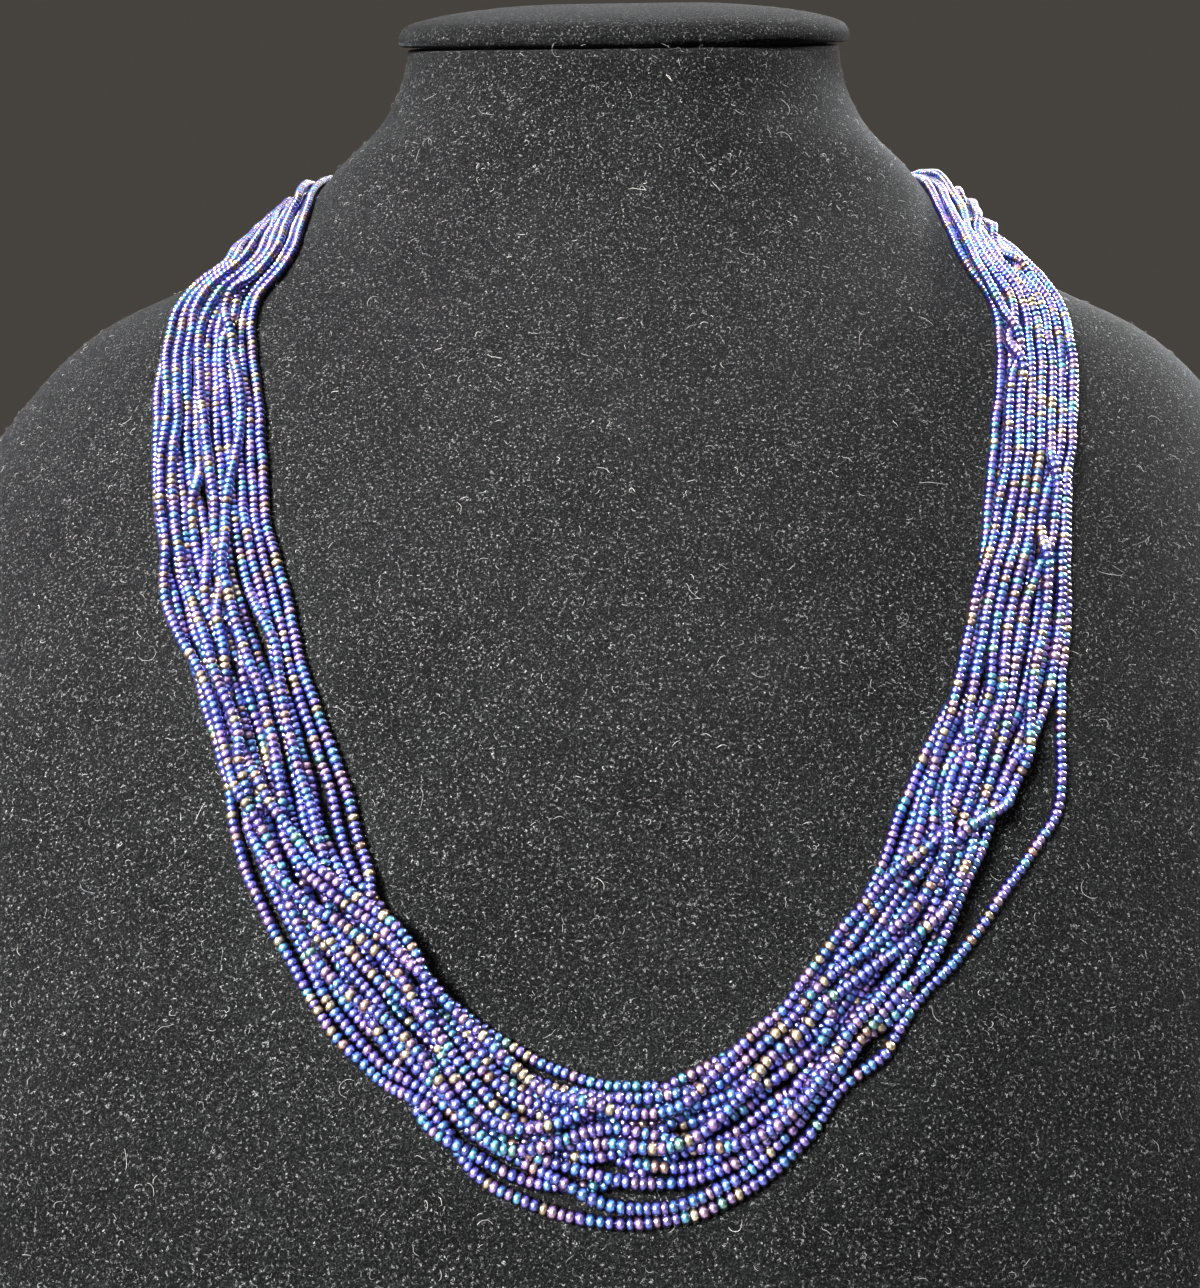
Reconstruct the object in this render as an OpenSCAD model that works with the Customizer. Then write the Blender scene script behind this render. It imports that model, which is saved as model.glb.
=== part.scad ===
// A necklace of fifteen strands of small round beads on a velvet neck bust.
// Millimetres, +Z up, the chest faces -Y. The origin is on the surface the bust stands on,
// under the middle of the whole piece.

/* [Neck bust] */
// Full width across the broadest part of the bust
bust_w = 324; // [308:2:340]
// Height of the highest point of the neck, at its back
bust_h = 290; // [276:2:304]
// How far the chest reaches in front of the origin
chest_d = 122.5; // [116:0.5:128]
// How far the back reaches behind the origin
back_d = 121; // [116:1:126]
// Forward slant of the top of the neck, in degrees
neck_slant = 16; // [13:1:19]
// Drop of the middle of the neck's top below the highest point of the bust
neck_drop = 11.5; // [10:0.5:14]
// Radius of the rounded edge round the base
base_edge = 4; // [2:1:8]

/* [Neck cap] */
// Full width of the soft cap on the neck
cap_w = 120; // [116:1:126]
// Length of the cap from front to back, along its slant
cap_l = 93; // [90:1:98]
// Thickness of the cap
cap_t = 10; // [8:0.5:12]

/* [Necklace] */
// Diameter of one strand of beads
bead_d = 2; // [1.8:0.1:2.2]
// Clear space between two strands side by side, or one above the other
strand_gap = 0.1; // [0.1:0.05:0.2]
// Clear space between the lowest strands and the bust
skin_gap = 0.8; // [0.7:0.1:1]

/* [Clasp] */
// Length of the clasp, along the necklace
clasp_l = 15.4; // [12:0.2:18]
// Rim of the clasp round the ends of the strands
clasp_rim = 0.5; // [0.4:0.1:0.8]
// Thickness of the collar at each end of the clasp
clasp_collar = 1.6; // [1:0.2:2.4]
// Step from the collars down to the middle of the clasp
clasp_step = 0.6; // [0.4:0.1:0.8]

/* [Hidden] */

// Level sections of the bust from the base to the neck. Height is a share of bust_h, half
// width of half bust_w, front of chest_d, middle and back of back_d. Roundness is the power
// of the oval: 2 is an ellipse, 3 is squarer.
//  height, half width, front, middle, back, roundness
SECTIONS = [
    [0.00, 0.840, -0.985, -0.015, 0.850, 3.0],
    [0.07, 0.890, -1.000, -0.005, 0.885, 3.0],
    [0.20, 0.960, -0.835, 0.050, 0.930, 2.9],
    [0.38, 1.000, -0.540, 0.145, 0.970, 2.8],
    [0.52, 0.990, -0.305, 0.255, 0.995, 2.7],
    [0.62, 0.920, -0.135, 0.345, 1.000, 2.6],
    [0.69, 0.815, -0.010, 0.415, 0.995, 2.5],
    [0.74, 0.650, 0.080, 0.470, 0.980, 2.4],
    [0.79, 0.535, 0.145, 0.520, 0.960, 2.2],
    [0.84, 0.465, 0.190, 0.560, 0.950, 2.1],
    [0.88, 0.400, 0.225, 0.590, 0.945, 2.0],
    [0.93, 0.358, 0.240, 0.605, 0.940, 2.0],
    [1.00, 0.352, 0.240, 0.605, 0.940, 2.0]
];
// Heights of the level rings of the bust's skin, as shares of bust_h
RINGS = [0.07, 0.13, 0.20, 0.26, 0.32, 0.38, 0.43, 0.48, 0.52, 0.56, 0.59, 0.62, 0.645, 0.67,
    0.69, 0.71, 0.73, 0.75, 0.77, 0.79, 0.81, 0.828, 0.846, 0.865];
// Points round each ring of the bust and rings between the last level one and the slant
RING_SIDES = 36;
NECK_RINGS = 4;

// Layers in which the strands lie over each other, one list for each way they are stacked.
// Strands 1 to 11 start in the lowest layer, 12 to 15 lie above them.
FLAT = [0, 0, 0, 0, 0, 0, 0, 0, 0, 0, 0, 1, 1, 1, 1];
PAIR_LOW = [0, 0, 0, 1, 0, 0, 0, 1, 0, 0, 0, 1, 1, 1, 1];
PAIR = [0, 0, 0, 1, 0, 0, 0, 1, 0, 0, 0, 2, 2, 2, 2];
TRIO_LOW = [0, 1, 0, 0, 0, 1, 0, 0, 0, 1, 0, 1, 1, 1, 1];
TRIO = [0, 1, 0, 0, 0, 1, 0, 0, 0, 1, 0, 2, 2, 2, 2];
STACK = [0, 1, 0, 1, 0, 1, 0, 1, 0, 1, 0, 2, 2, 2, 2];
// Lanes of the strands where they are gathered at the clasp
GATHERED = [-2.75, -2.2, -1.65, -1.1, -0.55, 0, 0.55, 1.1, 1.65, 2.2, 2.75, -1.7, -0.55, 0.6, 1.7];
// The route of the strands over the bust, from one end of the clasp over the shoulder on
// the left, round the chest and back over the other shoulder. Each row is one station:
// the turn round the bust in degrees from the middle of the chest, the height as a share of
// bust_h, the way the strands are stacked, and the lane of each of the fifteen strands,
// counted in strand widths from the middle of the band towards its outer edge.
ROUTE = [
    [-163, 0.830, STACK, GATHERED],
    [-146, 0.830, STACK, GATHERED],
    [-126, 0.828, STACK, [-2.9, -2.3, -1.75, -1.15, -0.6, 0, 0.6, 1.15, 1.75, 2.3, 2.9, -1.8, -0.6, 0.6, 1.8]],
    [-108, 0.820, STACK, [-3.2, -2.6, -2, -1.4, -0.7, 0, 0.7, 1.4, 2, 2.6, 3.2, -2.1, -0.7, 0.7, 2.1]],
    [-91, 0.808, STACK, [-4.1, -3.1, -2.1, -1.55, -1, 0, 1, 1.55, 2.1, 3.1, 4.1, -2.6, -0.6, 1.4, 2.6]],
    [-75, 0.790, PAIR, [-4.3, -3.3, -2.3, -1.75, -1.15, -0.15, 0.85, 1.4, 2, 3, 4, -3.1, -0.4, 2.6, 3.7]],
    [-60, 0.765, PAIR_LOW, [-4.5, -3.5, -2.5, -1.95, -1.35, -0.35, 0.65, 1.2, 1.8, 2.8, 3.8, -3.2, -0.4, 2.5, 3.7]],
    [-50, 0.739, PAIR_LOW, [-4.6, -3.6, -2.6, -2.05, -1.5, -0.5, 0.5, 1.05, 1.6, 2.6, 3.6, -3.3, -0.5, 2.3, 3.4]],
    [-43.5, 0.708, PAIR_LOW, [-4.7, -3.7, -2.7, -2.1, -1.6, -0.6, 0.4, 0.95, 1.5, 2.5, 3.5, -3.3, -0.6, 2.1, 3.2]],
    [-38.5, 0.677, PAIR_LOW, [-4.8, -3.8, -2.8, -2.05, -1.3, -0.3, 0.7, 1.45, 2.2, 3.2, 4.2, -3.4, -0.3, 2.6, 3.8]],
    [-35, 0.645, PAIR_LOW, [-5, -4, -3, -2, -1, 0, 1, 2, 3, 4, 5, -3.4, 0, 3.2, 4.4]],
    [-30, 0.576, FLAT, [-5.5, -4.4, -3.3, -2.2, -1.2, -0.1, 0.9, 2, 3, 4, 5.1, -3.3, -0.6, 3.1, 4.4]],
    [-26.5, 0.507, FLAT, [-5.6, -4.5, -3.4, -2.4, -1.3, -0.3, 0.8, 1.8, 2.9, 3.9, 4.9, -1.1, 0.3, 3, 4.3]],
    [-23, 0.448, PAIR, [-5.2, -4.2, -3.2, -2.2, -1.2, -0.2, 0.8, 1.8, 2.8, 3.8, 4.8, -0.6, 0.8, 3, 4.2]],
    [-19.5, 0.386, PAIR, [-4.2, -3.2, -2.15, -1.55, -1, 0, 1, 1.6, 2.15, 3.2, 4.3, 1, 2.1, 3.2, 4.2]],
    [-16.5, 0.328, PAIR, [-4.2, -3.2, -2.1, -1.5, -1, 0, 1, 1.55, 2.1, 3.1, 4.6, -1.4, -0.2, 1, 2.4]],
    [-12.5, 0.272, PAIR, [-4.4, -3.4, -2.4, -1.9, -1.35, -0.3, 0.7, 1.2, 1.75, 2.75, 3.8, -3.9, -2.8, -1.5, 0]],
    [-7.5, 0.231, PAIR, [-4.6, -3.6, -2.6, -2, -1.55, -0.5, 0.5, 1, 1.55, 2.6, 4, -3.6, -2.5, -1.2, 0.6]],
    [-2, 0.204, PAIR, [-4.4, -3.3, -2.2, -1.7, -1.1, 0, 1, 1.5, 2.1, 3.2, 4.6, -2.2, -1.1, 0.2, 2.2]],
    [4, 0.197, STACK, [-4.2, -3.2, -2.1, -1.5, -1, 0.2, 1.3, 2, 2.6, 3.7, 5.3, -4.1, -3, -1.7, -0.2]],
    [9.5, 0.207, STACK, [-3.3, -2.7, -2, -1.4, -0.7, 0, 0.6, 1.2, 1.8, 2.8, 4.2, -3.5, -2.4, -1.2, 0.2]],
    [14.5, 0.241, STACK, [-2.7, -2.15, -1.6, -1.05, -0.5, 0.05, 0.6, 1.15, 1.7, 2.3, 3.4, -1.9, -0.8, 0.3, 1.4]],
    [16.5, 0.262, STACK, [-2.9, -2.35, -1.8, -1.1, -0.4, 0.15, 0.7, 1.4, 2.1, 2.9, 5.2, -2.2, -1, 0.3, 1.6]],
    [18.5, 0.285, STACK, [-3.2, -2.65, -2.1, -1.1, -0.1, 0.45, 1, 2, 3, 3.5, 4.5, -2.4, -1.2, 0.4, 2]],
    [22, 0.328, TRIO, [-3.3, -2.8, -2.3, -1.2, -0.2, 0.3, 0.8, 1.8, 2.8, 3.3, 6.6, -1.8, -0.7, 1.3, 2.3]],
    [25, 0.383, TRIO_LOW, [-3.3, -2.8, -2.2, -1.2, -0.2, 0.3, 0.8, 1.8, 2.8, 3.4, 7.9, -1.8, -0.75, 1.35, 2.4]],
    [27.5, 0.431, TRIO_LOW, [-3.7, -3.2, -2.65, -1.6, -0.6, -0.1, 0.45, 1.45, 2.5, 3.1, 5.3, -2.15, -1.1, 0.95, 2]],
    [30, 0.503, TRIO_LOW, [-3.6, -3.1, -2.6, -1.6, -0.6, -0.1, 0.4, 1.4, 2.5, 3.05, 3.9, -2.1, -1.1, 0.9, 1.95]],
    [32.5, 0.569, TRIO_LOW, [-3.5, -2.95, -2.4, -1.4, -0.4, 0.1, 0.6, 1.6, 2.65, 3.2, 3.8, -1.9, -0.9, 1.1, 2.15]],
    [37, 0.638, TRIO_LOW, [-3.2, -2.7, -2.15, -1.1, -0.1, 0.4, 0.9, 1.9, 2.95, 3.5, 4.1, -1.65, -0.6, 1.4, 2.45]],
    [40, 0.672, TRIO_LOW, [-3.2, -2.75, -2.15, -1.1, -0.1, 0.4, 0.9, 1.9, 2.95, 3.55, 4.05, -1.65, -0.6, 1.45, 2.5]],
    [44.5, 0.703, TRIO_LOW, [-3.2, -2.8, -2.15, -1.1, -0.05, 0.45, 0.95, 1.95, 2.95, 3.6, 4, -1.7, -0.6, 1.5, 2.55]],
    [51.5, 0.732, TRIO_LOW, [-3.3, -2.9, -2.2, -1.2, -0.15, 0.35, 0.85, 1.9, 2.95, 3.55, 3.95, -1.8, -0.75, 1.4, 2.5]],
    [60, 0.757, TRIO_LOW, [-3.4, -3.1, -2.4, -1.35, -0.3, 0.2, 0.75, 1.8, 2.85, 3.5, 3.9, -2, -0.9, 1.3, 2.4]],
    [74, 0.785, TRIO, [-3.5, -3, -2.4, -1.35, -0.3, 0.2, 0.7, 1.75, 2.8, 3.4, 3.9, -2, -0.8, 1, 2.3]],
    [88, 0.806, STACK, [-3.6, -3.1, -2.5, -1.5, -0.5, 0, 0.5, 1.5, 2.5, 3.1, 3.6, -2, -0.7, 0.7, 2]],
    [102, 0.819, STACK, [-3.1, -2.5, -1.9, -1.3, -0.6, 0, 0.6, 1.3, 1.9, 2.5, 3.1, -1.9, -0.65, 0.65, 1.9]],
    [118, 0.826, STACK, [-2.9, -2.3, -1.75, -1.15, -0.6, 0, 0.6, 1.15, 1.75, 2.3, 2.9, -1.8, -0.6, 0.6, 1.8]],
    [134, 0.829, STACK, GATHERED],
    [149, 0.830, STACK, GATHERED],
    [164, 0.830, STACK, GATHERED]
];
// Sides of a strand, and rings along it
STRAND_SIDES = 8;
STRAND_RINGS = 55;
// Colours of the strands, from the inner one outwards
STRAND_COLOURS = ["royalblue", "slateblue", "mediumpurple", "steelblue", "rebeccapurple"];

// Space between the ends of the strands and the clasp
end_gap = 0.3;
// Space under the cap and between the clasp and the bust
seat_gap = 0.3;
// Distance between the middles of two strands side by side
pitch = bead_d + strand_gap;
// Height of the middle of the lowest strands over the bust
first_lift = skin_gap + bead_d / 2;
clasp_height = ROUTE[0][1] * bust_h;

// Smooth course through the rows of a table, at a share f of the way from row i to row i + 1
function course(p0, p1, p2, p3, f) = 0.5 * (2 * p1 + (p2 - p0) * f
    + (2 * p0 - 5 * p1 + 4 * p2 - p3) * f * f + (3 * p1 - p0 - 3 * p2 + p3) * f * f * f);
function unit(v) = v / norm(v);

// The sections in millimetres and the slope of each column at each row
sizes = [bust_h, bust_w / 2, chest_d, back_d, back_d, 1];
rows = [for (s = SECTIONS) [for (c = [0:5]) s[c] * (c == 2 && s[c] > 0 ? back_d : sizes[c])]];
last_row = len(rows) - 1;
slopes = [for (k = [0:last_row]) let (lo = max(k - 1, 0), hi = min(k + 1, last_row))
    (rows[hi] - rows[lo]) / (rows[hi][0] - rows[lo][0])];
// Section at any height: half width, front, middle, back and roundness in columns 1 to 5
function section(z) = let (
        h = min(max(z, 0), rows[last_row][0]),
        i = max([for (k = [0:last_row - 1]) if (rows[k][0] <= h) k]),
        d = rows[i + 1][0] - rows[i][0],
        t = (h - rows[i][0]) / d
    ) (2 * t * t * t - 3 * t * t + 1) * rows[i] + (t * t * t - 2 * t * t + t) * d * slopes[i]
    + (3 * t * t - 2 * t * t * t) * rows[i + 1] + (t * t * t - t * t) * d * slopes[i + 1];

// Point of the skin at a turn round the bust and a height
function skin(turn, z) = let (
        s = section(z),
        k = pow(pow(abs(sin(turn)), s[5]) + pow(abs(cos(turn)), s[5]), -1 / s[5])
    ) [s[1] * sin(turn) * k, s[3] - (cos(turn) > 0 ? s[3] - s[2] : s[4] - s[3]) * cos(turn) * k, z];
// Half depth of a section on the side of its middle where y lies
function depth(s, y) = y < s[3] ? s[3] - s[2] : s[4] - s[3];
// How far outside the skin a point lies, as a share of the section
function level(p) = let (s = section(p[2]))
    pow(pow(abs(p[0]) / s[1], s[5]) + pow(abs(p[1] - s[3]) / depth(s, p[1]), s[5]), 1 / s[5]) - 1;
// How fast that share grows along each axis
function rise(p) = let (
        s = section(p[2]),
        b = depth(s, p[1]),
        f = pow(level(p) + 1, 1 - s[5]),
        e = 0.05
    ) [
        sign(p[0]) * pow(abs(p[0]) / s[1], s[5] - 1) / s[1] * f,
        sign(p[1] - s[3]) * pow(abs(p[1] - s[3]) / b, s[5] - 1) / b * f,
        (level(p + [0, 0, e]) - level(p - [0, 0, e])) / (2 * e)
    ];
// The point moved straight onto the skin, and the outward direction there
function seated(p, steps = 3) = steps == 0 ? p
    : let (g = rise(p)) seated(p - level(p) * g / (g * g), steps - 1);
function outward(p) = unit(rise(p));

// Stations of the band's middle line, with one at each end of the clasp
function clasp_end(side) = let (x = side * (clasp_l / 2 + end_gap))
    seated([x, section(clasp_height)[4], clasp_height]);
stations = concat([clasp_end(-1)], [for (r = ROUTE) skin(r[0], r[1] * bust_h)], [clasp_end(1)]);
lanes = concat([GATHERED], [for (r = ROUTE) r[3]], [GATHERED]);
layers = concat([STACK], [for (r = ROUTE) r[2]], [STACK]);
last_station = len(stations) - 1;
function along(list, t) = let (
        i = min(floor(t), last_station - 1),
        p1 = list[i],
        p2 = list[i + 1],
        p0 = i > 0 ? list[i - 1] : 2 * p1 - p2,
        p3 = i + 2 <= last_station ? list[i + 2] : 2 * p2 - p1
    ) course(p0, p1, p2, p3, t - i);
function eased(list, t) = let (
        i = min(floor(t), last_station - 1),
        f = t - i
    ) list[i] + (list[i + 1] - list[i]) * f * f * (3 - 2 * f);

// Middle of strand k where it passes the place t along the route
function strand_point(k, t) = let (
        p = along(stations, t),
        way = along(stations, min(t + 0.01, last_station)) - along(stations, max(t - 0.01, 0)),
        side = unit(cross(way, outward(p))),
        q = seated(p + side * along([for (l = lanes) l[k]], t) * pitch)
    ) q + outward(q) * (first_lift + eased([for (l = layers) l[k]], t) * pitch);

// Closed skin over a stack of rings that have the same number of points
module shell(rings) {
    n = len(rings[0]);
    m = len(rings);
    polyhedron(
        points = [for (r = rings) each r],
        faces = concat(
            [for (j = [1:n - 2]) [0, j, j + 1]],
            [for (i = [0:m - 2]) for (j = [0:n - 1]) let (a = i * n + j, b = i * n + (j + 1) % n)
                each [[a, b + n, b], [a, a + n, b + n]]],
            [for (j = [1:n - 2]) [(m - 1) * n, (m - 1) * n + j + 1, (m - 1) * n + j]]
        )
    );
}

function turns(n) = [for (j = [0:n - 1]) 360 * j / n];

// Height of the slanted top of the neck at a distance from the front
function neck_top(y) = bust_h - neck_drop + (y - section(bust_h)[3]) * tan(neck_slant);
module bust() {
    level_top = RINGS[len(RINGS) - 1] * bust_h;
    base = [for (a = turns(RING_SIDES)) skin(a, base_edge)];
    middle = [0, section(0)[3], 0];
    color([0.10, 0.10, 0.11]) shell(concat(
        [[for (p = base) let (d = p - middle, r = norm([d[0], d[1]]))
            [p[0] - d[0] * base_edge / r, p[1] - d[1] * base_edge / r, 0]]],
        [base],
        [for (h = RINGS) [for (a = turns(RING_SIDES)) skin(a, h * bust_h)]],
        [for (i = [1:NECK_RINGS]) [for (a = turns(RING_SIDES)) let (
            top = neck_top(skin(a, bust_h)[1])
        ) skin(a, level_top + (top - level_top) * i / NECK_RINGS)]]
    ));
}

// The soft cap is an oval pad, widest near its flat underside and domed above. Height and
// inset of each ring are shares of its thickness.
//  height, inset
CAP_RINGS = [[0, 0.10], [0.13, 0], [0.30, 0.03], [0.45, 0.15], [0.57, 0.40], [0.69, 0.85],
    [0.81, 1.55], [0.92, 2.6], [1.0, 4.0]];
CAP_SIDES = 24;
module neck_cap() {
    color([0.13, 0.13, 0.14])
    translate([0, section(bust_h)[3], bust_h - neck_drop])
    rotate([neck_slant, 0, 0])
    translate([0, 0, seat_gap])
    shell([for (r = CAP_RINGS) [for (a = turns(CAP_SIDES)) [
        (cap_w / 2 - r[1] * cap_t) * sin(a), -(cap_l / 2 - r[1] * cap_t) * cos(a), r[0] * cap_t]]]);
}

// Plain rounded bar with a collar at each end that takes the ends of all the strands
widest_lane = max(GATHERED);
clasp_h = 2 * (widest_lane * pitch + bead_d / 2 + clasp_rim);
clasp_t = first_lift - seat_gap + max(STACK) * pitch + bead_d / 2 + clasp_rim;
module rounded_bar(height, thick, length) {
    r = thick / 3;
    translate([-length / 2, 0, 0]) rotate([90, 0, 90]) linear_extrude(length) union() {
        square([thick - 2 * r, height], center = true);
        square([thick, height - 2 * r], center = true);
        for (sx = [-1, 1]) for (sy = [-1, 1])
            translate([sx * (thick / 2 - r), sy * (height / 2 - r)]) circle(r, $fn = 32);
    }
}
module clasp() {
    back = section(clasp_height)[4];
    color([0.75, 0.75, 0.78])
    translate([0, back + seat_gap + clasp_t / 2, clasp_height]) union() {
        rounded_bar(clasp_h - 2 * clasp_step, clasp_t - 2 * clasp_step, clasp_l);
        for (side = [-1, 1]) translate([side * (clasp_l - clasp_collar) / 2, 0, 0])
            rounded_bar(clasp_h, clasp_t, clasp_collar);
    }
}

// One strand of beads, as a round run of its outer diameter
module strand(k) {
    points = [for (i = [0:STRAND_RINGS - 1])
        strand_point(k, last_station * i / (STRAND_RINGS - 1))];
    last = STRAND_RINGS - 1;
    color(STRAND_COLOURS[k % len(STRAND_COLOURS)]) shell([for (i = [0:last]) let (
        way = unit(points[min(i + 1, last)] - points[max(i - 1, 0)]),
        side = unit(cross(way, outward(points[i]))),
        up = cross(side, way)
    ) [for (a = turns(STRAND_SIDES)) points[i] + (side * sin(a) + up * cos(a)) * bead_d / 2]]);
}

bust();
neck_cap();
clasp();
strand(0);  // strand_01
strand(1);  // strand_02
strand(2);  // strand_03
strand(3);  // strand_04
strand(4);  // strand_05
strand(5);  // strand_06
strand(6);  // strand_07
strand(7);  // strand_08
strand(8);  // strand_09
strand(9);  // strand_10
strand(10);  // strand_11
strand(11);  // strand_12
strand(12);  // strand_13
strand(13);  // strand_14
strand(14);  // strand_15
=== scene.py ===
import math

import bmesh
import bpy
import numpy as np
from mathutils import Euler, Matrix, Vector


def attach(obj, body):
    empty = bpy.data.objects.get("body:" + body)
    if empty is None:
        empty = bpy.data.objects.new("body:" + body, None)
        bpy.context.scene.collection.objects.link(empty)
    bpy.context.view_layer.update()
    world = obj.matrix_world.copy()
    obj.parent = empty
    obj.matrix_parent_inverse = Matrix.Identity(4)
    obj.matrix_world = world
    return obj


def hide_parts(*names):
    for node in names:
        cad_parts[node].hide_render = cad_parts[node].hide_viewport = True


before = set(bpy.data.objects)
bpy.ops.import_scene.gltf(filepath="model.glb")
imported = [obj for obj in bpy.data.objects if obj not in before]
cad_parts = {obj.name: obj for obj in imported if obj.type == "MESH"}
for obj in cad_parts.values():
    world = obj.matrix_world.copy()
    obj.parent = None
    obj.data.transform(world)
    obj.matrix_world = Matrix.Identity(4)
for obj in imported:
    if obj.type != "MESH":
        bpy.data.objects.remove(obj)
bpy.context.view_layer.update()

# Sizes in metres
MM = 0.001
# Neck bust and cap
BUST_W = 324 * MM
BUST_H = 290 * MM
CHEST_D = 122.5 * MM
BACK_D = 121 * MM
NECK_SLANT = math.radians(16)
NECK_DROP = 11.5 * MM
BASE_EDGE = 4 * MM
CAP_W = 120 * MM
CAP_L = 93 * MM
CAP_T = 10 * MM
SEAT_GAP = 0.3 * MM
# Strands and clasp
BEAD_D = 2.34 * MM
STRAND_PITCH = 2.1 * MM
FIRST_LIFT = 1.8 * MM
CLASP_L = 15.4 * MM
CLASP_END_GAP = 0.3 * MM
# Mean length of one bead along its string
BEAD_STEP = 1.53 * MM
# How far the tips of the pile stand over the body under the cloth
PILE = 0.45 * MM

# Level sections of the bust, as shares: height of BUST_H, half width of half BUST_W, front of
# CHEST_D or of BACK_D where it is positive, middle and back of BACK_D, and roundness
SECTIONS = [
    (0.00, 0.840, -0.985, -0.015, 0.850, 3.0),
    (0.07, 0.890, -1.000, -0.005, 0.885, 3.0),
    (0.20, 0.960, -0.835, 0.050, 0.930, 2.9),
    (0.38, 1.000, -0.540, 0.145, 0.970, 2.8),
    (0.52, 0.990, -0.305, 0.255, 0.995, 2.7),
    (0.62, 0.920, -0.135, 0.345, 1.000, 2.6),
    (0.69, 0.815, -0.010, 0.415, 0.995, 2.5),
    (0.74, 0.650, 0.080, 0.470, 0.980, 2.4),
    (0.79, 0.535, 0.145, 0.520, 0.960, 2.2),
    (0.84, 0.465, 0.190, 0.560, 0.950, 2.1),
    (0.88, 0.400, 0.225, 0.590, 0.945, 2.0),
    (0.93, 0.358, 0.240, 0.605, 0.940, 2.0),
    (1.00, 0.352, 0.240, 0.605, 0.940, 2.0),
]

# Layers in which the strands lie over each other
FLAT = [0, 0, 0, 0, 0, 0, 0, 0, 0, 0, 0, 1, 1, 1, 1]
PAIR_LOW = [0, 0, 0, 1, 0, 0, 0, 1, 0, 0, 0, 1, 1, 1, 1]
PAIR = [0, 0, 0, 1, 0, 0, 0, 1, 0, 0, 0, 2, 2, 2, 2]
TRIO_LOW = [0, 1, 0, 0, 0, 1, 0, 0, 0, 1, 0, 1, 1, 1, 1]
TRIO = [0, 1, 0, 0, 0, 1, 0, 0, 0, 1, 0, 2, 2, 2, 2]
STACK = [0, 1, 0, 1, 0, 1, 0, 1, 0, 1, 0, 2, 2, 2, 2]
# Lanes of the strands at the clasp, in strand widths from the middle of the band
GATHERED = [-2.75, -2.2, -1.65, -1.1, -0.55, 0, 0.55, 1.1, 1.65, 2.2, 2.75, -1.7, -0.55, 0.6, 1.7]
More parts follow.
